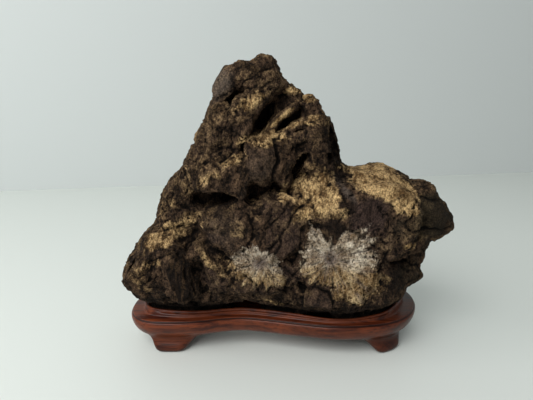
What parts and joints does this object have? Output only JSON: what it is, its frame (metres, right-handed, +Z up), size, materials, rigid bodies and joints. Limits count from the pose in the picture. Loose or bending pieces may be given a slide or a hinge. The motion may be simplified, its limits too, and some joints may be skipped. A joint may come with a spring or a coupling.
{
  "type": "scholars rock on carved stand",
  "caption": "Craggy natural viewing stone with pale rosette-shaped mineral markings, resting in a low lobed hardwood stand with short scrolled feet.",
  "frame": {"origin": "on the surface the feet rest on, under the middle of the object's bounding box", "axes": "+Z up, +X along the length to the right as seen from the front, -Y towards the front"},
  "size_m": [0.218, 0.0826, 0.1965],
  "materials": {
    "rock": "rough dark brown stone with ochre crusts and chalky pale mineral rosettes",
    "stand": "reddish-brown hardwood under a glossy lacquer"
  },
  "bodies": {
    "root": {"rock": "rock", "stand": "stand"}
  },
  "joints": []
}
